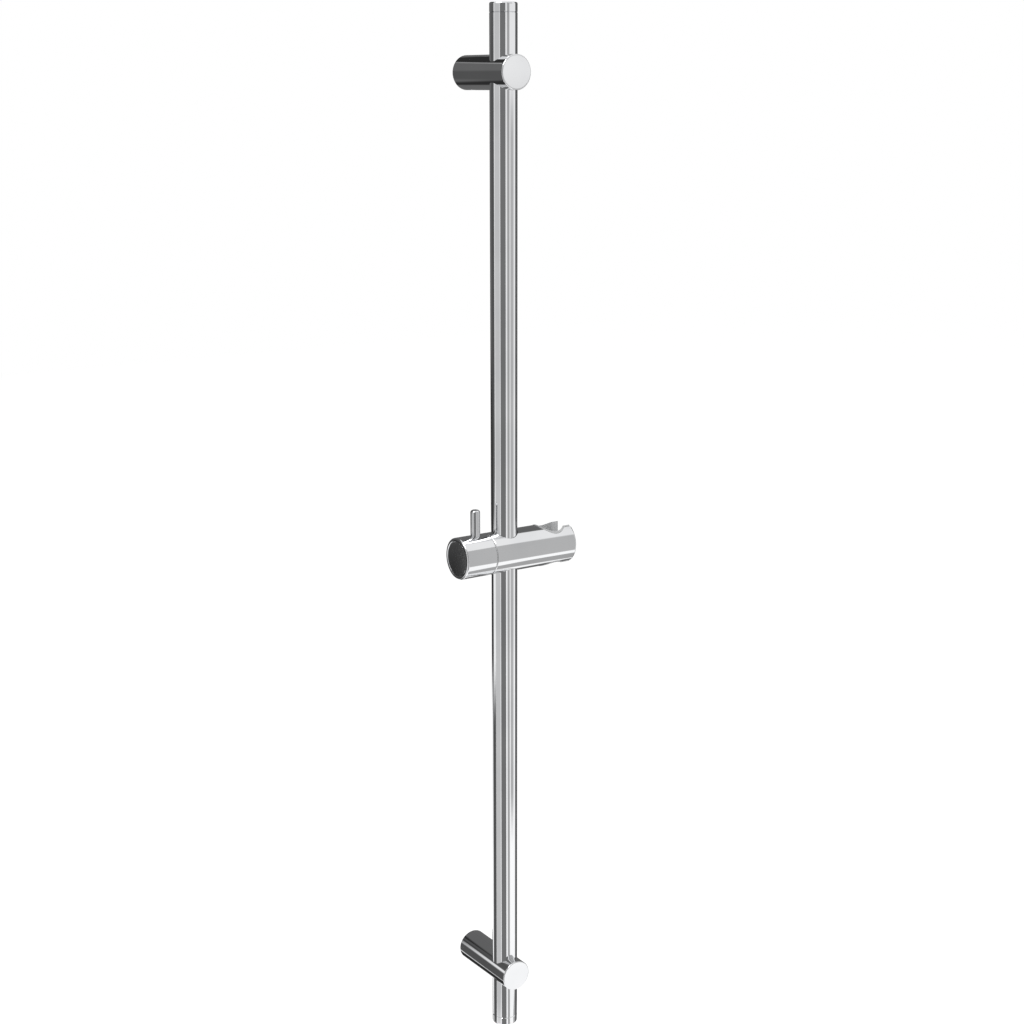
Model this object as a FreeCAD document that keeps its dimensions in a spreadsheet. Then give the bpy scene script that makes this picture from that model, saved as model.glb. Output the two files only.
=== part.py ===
# Shower slide rail: a round rail on two wall posts, and a slider across it that holds a handset.
# Millimetres. The origin lies on the wall, midway between the two fixings. +Z runs up along the rail,
# and the part stands out from the wall towards -Y.

import FreeCAD
import Part
import os
import re
import Sketcher

# Driving sizes: name, value, meaning
SIZES = [
    ("rail_diameter", 22.0, "outside of the rail tube"),
    ("rail_wall", 1.5, "wall of the rail tube"),
    ("fixing_distance", 770.0, "between the two wall fixings"),
    ("rail_overhang", 52.0, "rail past each fixing, with its end cap"),
    ("cap_head", 7.5, "height of an end cap that shows"),
    ("cap_spigot", 14.0, "length of an end cap inside the tube"),
    ("cap_fit", 0.05, "radial clearance of a cap in the tube"),
    ("cap_round", 1.2, "edge round of an end cap"),
    ("seam_chamfer", 0.4, "chamfers that meet at the joint of tube and cap"),
    ("seal_wire", 2.0, "thickness of a cap's sealing ring"),
    ("seal_setback", 5.5, "middle of the sealing ring below the tube's end"),
    ("seal_fit", 0.02, "radial clearance of a sealing ring"),
    ("seal_play", 0.15, "side play of a sealing ring in its groove"),
    ("bracket_wall", 2.5, "metal of a post beside the rail"),
    ("bracket_reach", 53.5, "rail axis from the wall"),
    ("bracket_nose", 18.5, "post in front of the rail axis"),
    ("bracket_round", 0.9, "edge round at the front of a post"),
    ("bracket_foot", 0.4, "chamfer of a post at the wall"),
    ("post_fit", 0.05, "radial clearance of the rail in a post"),
    ("boss_diameter", 20.0, "wall boss that a post slips over"),
    ("boss_fit", 0.05, "radial clearance of a post on its boss"),
    ("boss_end_gap", 1.0, "room in front of a boss in its socket"),
    ("boss_chamfer", 0.8, "lead-in at the front of a boss"),
    ("wall_hole", 5.5, "hole for a wall screw"),
    ("wall_head", 11.0, "countersink for the wall screw's head"),
    ("grip_setback", 9.0, "grip groove behind the front of a boss"),
    ("grip_depth", 1.6, "depth of the grip groove"),
    ("grip_floor", 2.8, "width of the grip groove's floor"),
    ("grip_mouth", 6.6, "width of the grip groove's mouth"),
    ("grub_diameter", 6.0, "set screw that grips the boss"),
    ("grub_tip", 2.4, "flat of the set screw's point"),
    ("grub_sink", 0.4, "set screw below the post's surface"),
    ("grub_hex", 3.0, "key size of the set screw"),
    ("grub_hex_depth", 2.0, "depth of the set screw's key socket"),
    ("thread_fit", 0.05, "radial clearance in a thread"),
    ("seat_gap", 0.05, "end clearance of a screw at its seat"),
    ("rail_screw_diameter", 8.0, "screw inside a post that presses the rail"),
    ("rail_screw_length", 10.0, "length of the rail screw"),
    ("rail_screw_chamfer", 0.8, "chamfers at the ends of the rail screw"),
    ("rail_screw_hex", 4.0, "key size of the rail screw"),
    ("rail_screw_hex_depth", 4.0, "depth of the rail screw's key socket"),
    ("rail_screw_spare", 7.4, "free thread behind the rail screw"),
    ("pad_length", 4.0, "nylon pad between rail screw and rail"),
    ("slider_wall", 6.5, "metal of the slider beside the rail"),
    ("slider_round", 1.2, "edge round at the holder end"),
    ("lip_clearance", 0.4, "radial clearance of the slider's lips on the rail"),
    ("lip_height", 2.0, "least height of the lips over the liner"),
    ("liner_wall", 1.5, "wall of the plastic liner"),
    ("liner_fit", 0.05, "radial clearance of the liner on the rail"),
    ("liner_play", 0.1, "clearance of the liner in its recess"),
    ("liner_split", 2.0, "width of the liner's split"),
    ("liner_chamfer", 0.4, "lead-in of the liner"),
    ("holder_place", 45.0, "holder axis from the rail axis"),
    ("holder_mouth", 24.0, "taper of the holder at the top"),
    ("holder_foot", 21.5, "taper of the holder at the bottom"),
    ("holder_end_wall", 3.5, "metal between the holder and the end face"),
    ("insert_wall", 1.4, "wall of the holder's plastic insert"),
    ("insert_fit", 0.1, "radial clearance of the insert"),
    ("insert_proud", 0.3, "insert above the slider's surface"),
    ("slot_width", 16.0, "slot that lets the hose into the holder, between the insert's lips"),
    ("slot_round", 5.0, "rounded corners of the metal slot at the end face"),
    ("shoe_diameter", 11.8, "clamp shoe"),
    ("shoe_length", 9.0, "clamp shoe along its axis"),
    ("shoe_fit", 0.1, "radial clearance of the shoe in the slider"),
    ("shoe_gap", 0.1, "shoe from the liner when clamped"),
    ("shoe_end_play", 0.2, "room behind the shoe when it is drawn back"),
    ("shoe_floor", 1.5, "shoe's metal in front of its thread"),
    ("thread_diameter", 6.0, "spindle thread in the shoe"),
    ("thread_lead", 1.5, "shoe travel for one turn of the knob"),
    ("spindle_diameter", 8.0, "spindle in its bearing"),
    ("spindle_fit", 0.05, "radial clearance of the spindle"),
    ("spindle_play", 0.15, "end play of the spindle's collar at each side"),
    ("bearing_length", 4.8, "length of the spindle's bearing"),
    ("collar_diameter", 12.4, "spindle's collar"),
    ("collar_thickness", 2.0, "spindle's collar"),
    ("gland_diameter", 13.0, "gland that keeps the collar in the slider"),
    ("gland_length", 3.6, "length of the gland"),
    ("gland_slot", 1.6, "driver slot across the gland"),
    ("gland_slot_depth", 1.2, "depth of the driver slot"),
    ("shoulder_wall", 4.85, "metal between the liner and the slider's shoulder"),
    ("spigot_diameter", 22.0, "slider's spigot inside the knob"),
    ("spigot_chamfer", 0.6, "lead-in of the spigot"),
    ("washer_thickness", 0.55, "thrust washer behind the knob"),
    ("washer_gap", 0.05, "clearance between washer and knob"),
    ("washer_fit", 0.1, "radial clearance of the washer on the spigot"),
    ("washer_inset", 0.7, "washer below the slider's surface"),
    ("knob_fit", 0.3, "radial clearance of the knob on the spigot"),
    ("knob_gap", 0.6, "room between the spigot's end and the knob's web"),
    ("knob_web", 6.0, "web of the knob that drives the spindle"),
    ("knob_head_room", 4.2, "room for the knob screw's head"),
    ("knob_round", 1.2, "edge round at the knob's end"),
    ("knob_chamfer", 0.4, "chamfer of the knob at the seam"),
    ("drive_square", 5.6, "square of the spindle in the knob"),
    ("drive_fit", 0.05, "clearance of the square at each side"),
    ("drive_lead", 0.3, "square begins this much before the web"),
    ("drive_short", 0.3, "square ends this much before the web's back"),
    ("cover_rim", 2.9, "rim of the knob round its cover"),
    ("cover_thickness", 2.8, "depth of the cover's seat"),
    ("cover_sink", 0.2, "cover below the rim"),
    ("cover_fit", 0.05, "radial clearance of the cover"),
    ("cover_chamfer", 0.3, "chamfer of the cover"),
    ("cover_ledge", 2.1, "ledge that the cover seats on"),
    ("cover_ring_depth", 1.8, "ring of the cover that snaps into the knob"),
    ("cover_ring_wall", 1.5, "wall of that ring"),
    ("knob_screw_diameter", 4.0, "screw that holds the knob on the spindle"),
    ("knob_screw_length", 7.5, "knob screw below its head"),
    ("knob_screw_head", 8.4, "head of the knob screw"),
    ("knob_screw_rise", 3.0, "height of the knob screw's head"),
    ("knob_screw_round", 0.8, "edge round of the knob screw's head"),
    ("knob_screw_hex", 2.5, "key size of the knob screw"),
    ("knob_screw_hex_depth", 1.6, "depth of the knob screw's key socket"),
    ("knob_screw_spare", 1.5, "free thread beyond the knob screw"),
    ("lever_diameter", 8.0, "lever pin on the knob"),
    ("lever_height", 21.5, "lever pin above the knob"),
    ("lever_inset", 18.0, "lever pin from the knob's end"),
    ("lever_seat", 2.0, "depth of the lever pin's seat in the knob"),
    ("lever_fit", 0.05, "radial clearance of the lever pin"),
    ("lever_thread", 6.0, "thread of the lever pin"),
    ("lever_gap", 0.5, "lever pin's thread short of the knob's bore"),
    ("lever_round", 2.0, "edge round of the lever pin"),
]

# Places that follow from the driving sizes, each from those above it
PLACES = [
    ("rail_radius", "rail_diameter / 2"),
    ("tube_bore", "rail_radius - rail_wall"),
    ("fixing_height", "fixing_distance / 2"),
    ("tube_end", "fixing_height + rail_overhang - cap_head"),
    ("spigot_fit_radius", "tube_bore - cap_fit"),
    ("seal_radius", "tube_bore - seal_fit - seal_wire / 2"),
    ("seal_floor", "seal_radius - seal_wire / 2 - seal_fit"),
    ("seal_half", "seal_wire / 2 + seal_play"),
    ("bracket_radius", "rail_radius + bracket_wall"),
    ("bracket_front", "bracket_reach + bracket_nose"),
    ("post_bore", "rail_radius + post_fit"),
    ("boss_radius", "boss_diameter / 2"),
    ("socket_radius", "boss_radius + boss_fit"),
    ("pad_back", "bracket_reach - post_bore - pad_length"),
    ("rail_screw_front", "pad_back - seat_gap"),
    ("rail_screw_back", "rail_screw_front - rail_screw_length"),
    ("socket_depth", "rail_screw_back - rail_screw_spare"),
    ("boss_length", "socket_depth - boss_end_gap"),
    ("grip_place", "boss_length - grip_setback"),
    ("grip_radius", "boss_radius - grip_depth"),
    ("grub_radius", "grub_diameter / 2"),
    ("grub_end", "bracket_radius - grub_sink"),
    ("rail_screw_radius", "rail_screw_diameter / 2"),
    ("slider_radius", "rail_radius + slider_wall"),
    ("liner_inner", "rail_radius + liner_fit"),
    ("liner_outer", "liner_inner + liner_wall"),
    ("recess_radius", "liner_outer + liner_play"),
    ("recess_half", "sqrt(slider_radius ^ 2 - recess_radius ^ 2) - lip_height"),
    ("liner_half", "recess_half - liner_play"),
    ("lip_radius", "rail_radius + lip_clearance"),
    ("insert_back", "insert_wall + insert_fit"),
    ("hole_mouth", "holder_mouth / 2 + insert_back"),
    ("slider_right", "holder_place + hole_mouth + holder_end_wall"),
    ("slot_half", "slot_width / 2"),
    ("lip_half", "slot_half + insert_wall"),
    ("mouth_half", "slot_half + insert_back"),
    ("slot_length", "slider_right - holder_place"),
    ("lip_length", "slot_length - slot_round"),
    ("cone_middle", "(holder_mouth + holder_foot) / 4"),
    ("cone_reach", "slider_radius + slider_round"),
    ("cone_spread", "(holder_mouth - holder_foot) / 4 * cone_reach / slider_radius"),
    ("shoe_radius", "shoe_diameter / 2"),
    ("shoe_bore", "shoe_radius + shoe_fit"),
    ("shoe_face", "liner_outer + shoe_gap"),
    ("shoe_back", "shoe_face + shoe_length"),
    ("shoe_travel", "thread_lead / 4"),
    ("shoe_stop", "shoe_back + shoe_travel + shoe_end_play"),
    ("thread_radius", "thread_diameter / 2"),
    ("thread_floor", "shoe_face + shoe_floor"),
    ("thread_end", "thread_floor + shoe_travel + shoe_end_play"),
    ("spindle_radius", "spindle_diameter / 2"),
    ("spindle_bore", "spindle_radius + spindle_fit"),
    ("collar_seat", "shoe_stop + bearing_length"),
    ("collar_face", "collar_seat + spindle_play"),
    ("collar_back", "collar_face + collar_thickness"),
    ("collar_radius", "collar_diameter / 2"),
    ("gland_face", "collar_back + spindle_play"),
    ("gland_radius", "gland_diameter / 2"),
    ("spigot_end", "gland_face + gland_length"),
    ("spigot_radius", "spigot_diameter / 2"),
    ("shoulder", "recess_radius + shoulder_wall"),
    ("washer_back", "shoulder + washer_thickness"),
    ("knob_face", "washer_back + washer_gap"),
    ("knob_bore", "spigot_radius + knob_fit"),
    ("web_face", "spigot_end + knob_gap"),
    ("web_back", "web_face + knob_web"),
    ("cover_seat", "web_back + knob_head_room"),
    ("knob_end", "cover_seat + cover_thickness"),
    ("cover_face", "knob_end - cover_sink"),
    ("cover_bore", "slider_radius - cover_rim"),
    ("cover_radius", "cover_bore - cover_fit"),
    ("head_bore", "cover_bore - cover_ledge"),
    ("ring_outer", "head_bore - cover_fit"),
    ("ring_inner", "ring_outer - cover_ring_wall"),
    ("square_start", "web_face - drive_lead"),
    ("square_end", "web_back - drive_short"),
    ("knob_screw_radius", "knob_screw_diameter / 2"),
    ("knob_screw_end", "web_back - knob_screw_length"),
    ("knob_screw_top", "web_back + knob_screw_rise"),
    ("lever_place", "knob_end - lever_inset"),
    ("lever_radius", "lever_diameter / 2"),
    ("lever_thread_radius", "lever_thread / 2"),
    ("lever_floor", "slider_radius - lever_seat"),
    ("lever_start", "knob_bore + lever_gap"),
    ("lever_top", "slider_radius + lever_height"),
]

HOME = {name: "sizes." for name, value, meaning in SIZES}
HOME.update({name: "places." for name, formula in PLACES})
WORD = re.compile(r"[a-z_]+")
ZERO = 1e-9
LEVELS = {"upper": 1, "lower": -1}


def tie(expression):
    """Expression with each name led by the sheet that holds it."""
    return WORD.sub(lambda found: HOME.get(found.group(), "") + found.group(), expression)


def number(expression):
    """Value that an expression has now."""
    return float(places.evalExpression(tie(expression)))


def fill_sheet(name, rows):
    """Sheet with one named cell for each pair of name and text."""
    sheet = doc.addObject("Spreadsheet::Sheet", name)
    for row, (alias, text) in enumerate(rows, start=1):
        sheet.set(f"A{row}", alias)
        sheet.set(f"B{row}", text)
        sheet.setAlias(f"B{row}", alias)
    doc.recompute()
    return sheet


def place(item, x="0", y="0", z="0", turn=None):
    """Put an object at a tied place, with an optional turn about an axis in degrees."""
    if turn:
        item.Placement.Rotation = FreeCAD.Rotation(FreeCAD.Vector(*turn[0]), turn[1])
    for axis, expression in zip("xyz", (x, y, z)):
        item.setExpression(f"Placement.Base.{axis}", tie(expression))
    return item


def new_body(label, x="0", y="0", z="0", turn=None):
    """Empty body for one sub-part."""
    body = doc.addObject("PartDesign::Body", label)
    body.Label = label
    return place(body, x, y, z, turn)


def new_sketch(body, plane, x="0", z="0"):
    """Sketch on one of the body's own planes, shifted along the sketch's x and its normal."""
    sketch = body.newObject("Sketcher::SketchObject", f"{body.Label}_sketch")
    support = [feature for feature in body.Origin.OriginFeatures if feature.Role == plane]
    sketch.AttachmentSupport = (support[0], [""])
    sketch.MapMode = "FlatFace"
    sketch.setExpression("AttachmentOffset.Base.x", tie(x))
    sketch.setExpression("AttachmentOffset.Base.z", tie(z))
    return sketch


def tie_point(sketch, item, end, u, v):
    """Hold a point of a sketch at tied coordinates, or on an axis where a coordinate is zero."""
    for kind, axis, expression in (("DistanceX", -2, u), ("DistanceY", -1, v)):
        value = number(expression)
        if abs(value) < ZERO:
            sketch.addConstraint(Sketcher.Constraint("PointOnObject", item, end, axis))
            continue
        index = sketch.addConstraint(Sketcher.Constraint(kind, -1, 1, item, end, value))
        sketch.setExpression(f"Constraints[{index}]", tie(expression))


def step(start, end, radius):
    """Expression for the point at a radius from start towards end, along one axis."""
    gap = number(end) - number(start)
    if abs(gap) < ZERO:
        return start
    return f"{start} + {radius}" if gap > 0 else f"{start} - {radius}"


def outline(body, plane, corners, x="0", z="0"):
    """Closed outline of straight edges. A corner with a third value is rounded by that radius."""
    sketch = new_sketch(body, plane, x, z)
    points = []
    rounds = {}
    for index, corner in enumerate(corners):
        u, v = corner[:2]
        if len(corner) == 2:
            points.append((u, v))
            continue
        before = corners[index - 1]
        after = corners[(index + 1) % len(corners)]
        rounds[len(points)] = (corner[2], u, v)
        points.append((step(u, before[0], corner[2]), step(v, before[1], corner[2])))
        points.append((step(u, after[0], corner[2]), step(v, after[1], corner[2])))
    spots = [FreeCAD.Vector(number(u), number(v), 0) for u, v in points]
    for index, spot in enumerate(spots):
        following = spots[(index + 1) % len(spots)]
        if index in rounds:
            radius, u, v = rounds[index]
            corner = FreeCAD.Vector(number(u), number(v), 0)
            centre = spot + following - corner
            middle = centre + (corner - centre).normalize() * number(radius)
            sketch.addGeometry(Part.Arc(spot, middle, following))
        else:
            sketch.addGeometry(Part.LineSegment(spot, following))
    for index, (u, v) in enumerate(points):
        ahead = (index + 1) % len(points)
        starts = start_of(sketch, index, spots[index])
        ends = 3 - start_of(sketch, index, spots[index])
        sketch.addConstraint(
            Sketcher.Constraint("Coincident", index, ends, ahead, start_of(sketch, ahead, spots[ahead]))
        )
        tie_point(sketch, index, starts, u, v)
        if index in rounds:
            radius = rounds[index][0]
            item = sketch.addConstraint(Sketcher.Constraint("Radius", index, number(radius)))
            sketch.setExpression(f"Constraints[{item}]", tie(radius))
    return sketch


def start_of(sketch, item, spot):
    """End of a sketch edge, 1 or 2, that lies at a spot."""
    return min((1, 2), key=lambda end: sketch.getPoint(item, end).distanceToPoint(spot))


def circle(body, plane, u, v, radius, x="0", z="0"):
    """Sketch of one circle."""
    sketch = new_sketch(body, plane, x, z)
    add_circle(sketch, u, v, radius)
    return sketch


def add_circle(sketch, u, v, radius):
    """Tied circle in a sketch."""
    centre = FreeCAD.Vector(number(u), number(v), 0)
    item = sketch.addGeometry(Part.Circle(centre, FreeCAD.Vector(0, 0, 1), number(radius)))
    tie_point(sketch, item, 3, u, v)
    index = sketch.addConstraint(Sketcher.Constraint("Radius", item, number(radius)))
    sketch.setExpression(f"Constraints[{index}]", tie(radius))


def hexagon(body, plane, size, z):
    """Key socket's outline, with its size across the flats."""
    corners = []
    for angle in range(0, 360, 60):
        corners.append((f"{size} / sqrt(3) * cos({angle} deg)", f"{size} / sqrt(3) * sin({angle} deg)"))
    return outline(body, plane, corners, z=z)


def revolve(body, sketch, axis):
    """Turn an outline into the body's first solid, about the sketch's H or V axis."""
    feature = body.newObject("PartDesign::Revolution", f"{body.Label}_revolve")
    feature.Profile = sketch
    feature.ReferenceAxis = (sketch, [axis])
    feature.Angle = 360
    doc.recompute()
    return feature


def groove(body, sketch, axis):
    """Cut away an outline turned about the sketch's H or V axis."""
    before = body.Shape.Volume
    feature = body.newObject("PartDesign::Groove", f"{body.Label}_groove")
    feature.Profile = sketch
    feature.ReferenceAxis = (sketch, [axis])
    feature.Angle = 360
    return confirm_cut(body, before)


def pocket(body, sketch, side="One side", depth=None, reverse=False):
    """Cut a sketch into the body, right through or to a depth."""
    before = body.Shape.Volume
    feature = body.newObject("PartDesign::Pocket", f"{body.Label}_pocket")
    feature.Profile = sketch
    feature.SideType = side
    feature.Reversed = reverse
    if depth:
        feature.Type = "Length"
        feature.setExpression("Length", tie(depth))
    else:
        feature.Type = "ThroughAll"
    return confirm_cut(body, before)


def confirm_cut(body, before):
    """Recompute, and stop if a cut took nothing away."""
    doc.recompute()
    if body.Shape.Volume >= before:
        raise RuntimeError(f"{body.Label}: a cut took nothing away")
    return body


def primitive(kind, label, sizes):
    """Part primitive with tied properties."""
    item = doc.addObject(f"Part::{kind}", label)
    for name, expression in sizes.items():
        item.setExpression(name, tie(expression))
    return item


def combine(kind, label, base, tool):
    """Boolean of two objects."""
    item = doc.addObject(f"Part::{kind}", label)
    item.Base = base
    item.Tool = tool
    return item


def rail_tube():
    """Tube with a small chamfer at each end, where the caps meet it."""
    body = new_body("rail_tube", y="-bracket_reach")
    corners = []
    for sign in ("-", ""):
        edge = [
            ("tube_bore", f"{sign}tube_end"),
            ("rail_radius - seam_chamfer", f"{sign}tube_end"),
            ("rail_radius", f"{sign}(tube_end - seam_chamfer)"),
        ]
        corners += edge if sign else edge[::-1]
    revolve(body, outline(body, "XZ_Plane", corners), "V_Axis")
    return body


def end_cap(name, sign):
    """Plug with a head as wide as the rail and a grooved spigot inside the tube."""
    turn = None if sign > 0 else ((1, 0, 0), 180)
    body = new_body(f"{name}_end_cap", y="-bracket_reach", z=f"{sign} * tube_end", turn=turn)
    corners = [
        ("0", "-cap_spigot"),
        ("spigot_fit_radius - seam_chamfer", "-cap_spigot"),
        ("spigot_fit_radius", "-cap_spigot + seam_chamfer"),
        ("spigot_fit_radius", "-seal_setback - seal_half"),
        ("seal_floor", "-seal_setback - seal_half"),
        ("seal_floor", "-seal_setback + seal_half"),
        ("spigot_fit_radius", "-seal_setback + seal_half"),
        ("spigot_fit_radius", "0"),
        ("rail_radius - seam_chamfer", "0"),
        ("rail_radius", "seam_chamfer"),
        ("rail_radius", "cap_head", "cap_round"),
        ("0", "cap_head"),
    ]
    revolve(body, outline(body, "XZ_Plane", corners), "V_Axis")
    return body


def cap_seal(name, sign):
    """Rubber ring in the groove of an end cap."""
    ring = primitive("Torus", f"{name}_cap_seal", {"Radius1": "seal_radius", "Radius2": "seal_wire / 2"})
    return place(ring, y="-bracket_reach", z=f"{sign} * (tube_end - seal_setback)")


def bracket(name, sign):
    """Post from the wall with a socket for its boss, a bore for the rail and two screw holes."""
    body = new_body(f"{name}_bracket", z=f"{sign} * fixing_height")
    corners = [
        ("socket_radius", "0"),
        ("bracket_radius - bracket_foot", "0"),
        ("bracket_radius", "-bracket_foot"),
        ("bracket_radius", "-bracket_front", "bracket_round"),
        ("0", "-bracket_front"),
        ("0", "-bracket_reach"),
        ("rail_screw_radius + thread_fit", "-bracket_reach"),
        ("rail_screw_radius + thread_fit", "-socket_depth"),
        ("socket_radius", "-socket_depth"),
    ]
    revolve(body, outline(body, "XY_Plane", corners), "V_Axis")
    pocket(body, circle(body, "XY_Plane", "0", "-bracket_reach", "post_bore"), "Symmetric")
    return pocket(body, circle(body, "XY_Plane", "0", "-grip_place", "grub_radius + thread_fit"))


def wall_boss(name, sign):
    """Turned boss with a countersunk screw hole and a groove for the set screw's point."""
    body = new_body(f"{name}_wall_boss", z=f"{sign} * fixing_height")
    corners = [
        ("wall_hole / 2", "0"),
        ("boss_radius", "0"),
        ("boss_radius", "-grip_place + grip_mouth / 2"),
        ("grip_radius", "-grip_place + grip_floor / 2"),
        ("grip_radius", "-grip_place - grip_floor / 2"),
        ("boss_radius", "-grip_place - grip_mouth / 2"),
        ("boss_radius", "-boss_length + boss_chamfer"),
        ("boss_radius - boss_chamfer", "-boss_length"),
        ("wall_head / 2", "-boss_length"),
        ("wall_hole / 2", "-boss_length + (wall_head - wall_hole) / 2"),
    ]
    revolve(body, outline(body, "XY_Plane", corners), "V_Axis")
    return body


def boss_set_screw(name, sign):
    """Set screw under the post, with its point in the boss's groove."""
    body = new_body(f"{name}_boss_set_screw", y="-grip_place", z=f"{sign} * fixing_height")
    corners = [
        ("0", "-grip_radius - seat_gap"),
        ("grub_tip / 2", "-grip_radius - seat_gap"),
        ("grub_radius", "-socket_radius"),
        ("grub_radius", "-grub_end"),
        ("0", "-grub_end"),
    ]
    revolve(body, outline(body, "XZ_Plane", corners), "V_Axis")
    return pocket(body, hexagon(body, "XY_Plane", "grub_hex", "-grub_end"), depth="grub_hex_depth", reverse=True)


def rail_screw(name, sign):
    """Set screw inside the post, turned from the wall side, that presses the pad on the rail."""
    body = new_body(f"{name}_rail_screw", z=f"{sign} * fixing_height")
    corners = [
        ("0", "-rail_screw_front"),
        ("rail_screw_radius - rail_screw_chamfer", "-rail_screw_front"),
        ("rail_screw_radius", "-rail_screw_front + rail_screw_chamfer"),
        ("rail_screw_radius", "-rail_screw_back - rail_screw_chamfer"),
        ("rail_screw_radius - rail_screw_chamfer", "-rail_screw_back"),
        ("0", "-rail_screw_back"),
    ]
    revolve(body, outline(body, "XY_Plane", corners), "V_Axis")
    socket = hexagon(body, "XZ_Plane", "rail_screw_hex", "rail_screw_back")
    return pocket(body, socket, depth="rail_screw_hex_depth", reverse=True)


def rail_pad(name, sign):
    """Nylon pad with a hollow end that follows the rail."""
    height = f"{sign} * fixing_height"
    plug = primitive(
        "Cylinder",
        f"{name}_pad_plug",
        {"Radius": "rail_screw_radius", "Height": "post_bore + pad_length"},
    )
    place(plug, y="-bracket_reach", z=height, turn=((1, 0, 0), -90))
    hollow = primitive("Cylinder", f"{name}_pad_hollow", {"Radius": "post_bore", "Height": "bracket_radius * 2"})
    place(hollow, y="-bracket_reach", z=f"{height} - bracket_radius")
    return combine("Cut", f"{name}_rail_pad", plug, hollow)


def rail_liner():
    """Split bush that runs on the rail inside the slider."""
    body = new_body("rail_liner", y="-bracket_reach")
    corners = []
    for sign in ("-", ""):
        edge = [
            ("liner_inner", f"{sign}(liner_half - liner_chamfer)"),
            ("liner_inner + liner_chamfer", f"{sign}liner_half"),
            ("liner_outer", f"{sign}liner_half"),
        ]
        corners += edge if sign else edge[::-1]
    revolve(body, outline(body, "XZ_Plane", corners), "V_Axis")
    split = [
        ("-liner_split / 2", "0"),
        ("liner_split / 2", "0"),
        ("liner_split / 2", "recess_radius"),
        ("-liner_split / 2", "recess_radius"),
    ]
    return pocket(body, outline(body, "XY_Plane", split), "Symmetric")


def slider_body():
    """Round bar across the rail: rail bore with a recess for the liner, spigot, clamp bores and holder."""
    body = new_body("slider_body", y="-bracket_reach")
    corners = [
        ("0", "0"),
        ("slider_right", "0"),
        ("slider_right", "slider_radius", "slider_round"),
        ("-shoulder + knob_chamfer", "slider_radius"),
        ("-shoulder", "slider_radius - knob_chamfer"),
        ("-shoulder", "spigot_radius"),
        ("-spigot_end + spigot_chamfer", "spigot_radius"),
        ("-spigot_end", "spigot_radius - spigot_chamfer"),
        ("-spigot_end", "gland_radius"),
        ("-collar_seat", "gland_radius"),
        ("-collar_seat", "spindle_bore"),
        ("-shoe_stop", "spindle_bore"),
        ("-shoe_stop", "shoe_bore"),
        ("0", "shoe_bore"),
    ]
    revolve(body, outline(body, "XZ_Plane", corners), "H_Axis")
    pocket(body, circle(body, "XY_Plane", "0", "0", "lip_radius"), "Symmetric")
    recess = [
        ("0", "-recess_half"),
        ("recess_radius", "-recess_half"),
        ("recess_radius", "recess_half"),
        ("0", "recess_half"),
    ]
    groove(body, outline(body, "XZ_Plane", recess), "V_Axis")
    taper = [
        ("0", "-cone_reach"),
        ("cone_middle - cone_spread + insert_back", "-cone_reach"),
        ("cone_middle + cone_spread + insert_back", "cone_reach"),
        ("0", "cone_reach"),
    ]
    groove(body, outline(body, "XZ_Plane", taper, x="holder_place"), "V_Axis")
    mouth = [
        ("holder_place", "-mouth_half"),
        ("slider_right", "-mouth_half", "slot_round"),
        ("slider_right", "-slider_radius"),
        ("slider_right + slider_round", "-slider_radius"),
        ("slider_right + slider_round", "slider_radius"),
        ("slider_right", "slider_radius"),
        ("slider_right", "mouth_half", "slot_round"),
        ("holder_place", "mouth_half"),
    ]
    return pocket(body, outline(body, "XY_Plane", mouth), "Symmetric")


def holder_insert():
    """Tapered plastic sleeve with two lips that line the slot, and ends that follow the slider's round."""
    faces = {}
    for face, extra, half, length in (
        ("outside", " + insert_wall", "lip_half", "lip_length"),
        ("inside", "", "slot_half", "slot_length"),
    ):
        taper = primitive(
            "Cone",
            f"insert_{face}_taper",
            {
                "Radius1": f"cone_middle - cone_spread{extra}",
                "Radius2": f"cone_middle + cone_spread{extra}",
                "Height": "2 * cone_reach",
            },
        )
        place(taper, x="holder_place", y="-bracket_reach", z="-cone_reach")
        channel = primitive(
            "Box",
            f"insert_{face}_channel",
            {"Length": length, "Width": f"2 * {half}", "Height": "2 * cone_reach"},
        )
        place(channel, x="holder_place", y=f"-bracket_reach - {half}", z="-cone_reach")
        faces[face] = combine("Fuse", f"insert_{face}", taper, channel)
    opened = combine("Cut", "insert_opened", faces["outside"], faces["inside"])
    trim = primitive("Cylinder", "insert_trim", {"Radius": "slider_radius + insert_proud", "Height": "slider_right"})
    place(trim, y="-bracket_reach", turn=((0, 1, 0), 90))
    return combine("Common", "holder_insert", opened, trim)


def clamp_shoe():
    """Nut that cannot turn, because its hollow face follows the liner."""
    body = new_body("clamp_shoe", y="-bracket_reach")
    corners = [
        ("-thread_floor", "0"),
        ("-shoe_face + shoe_radius", "0"),
        ("-shoe_face + shoe_radius", "shoe_radius"),
        ("-shoe_back", "shoe_radius"),
        ("-shoe_back", "thread_radius + thread_fit"),
        ("-thread_floor", "thread_radius + thread_fit"),
    ]
    revolve(body, outline(body, "XZ_Plane", corners), "H_Axis")
    return pocket(body, circle(body, "XY_Plane", "0", "0", "shoe_face"), "Symmetric")


def thrust_washer():
    """Plastic washer between the slider's shoulder and the knob."""
    body = new_body("thrust_washer", y="-bracket_reach")
    corners = [
        ("-shoulder", "spigot_radius + washer_fit"),
        ("-shoulder", "slider_radius - washer_inset"),
        ("-washer_back", "slider_radius - washer_inset"),
        ("-washer_back", "spigot_radius + washer_fit"),
    ]
    revolve(body, outline(body, "XZ_Plane", corners), "H_Axis")
    return body


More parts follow.
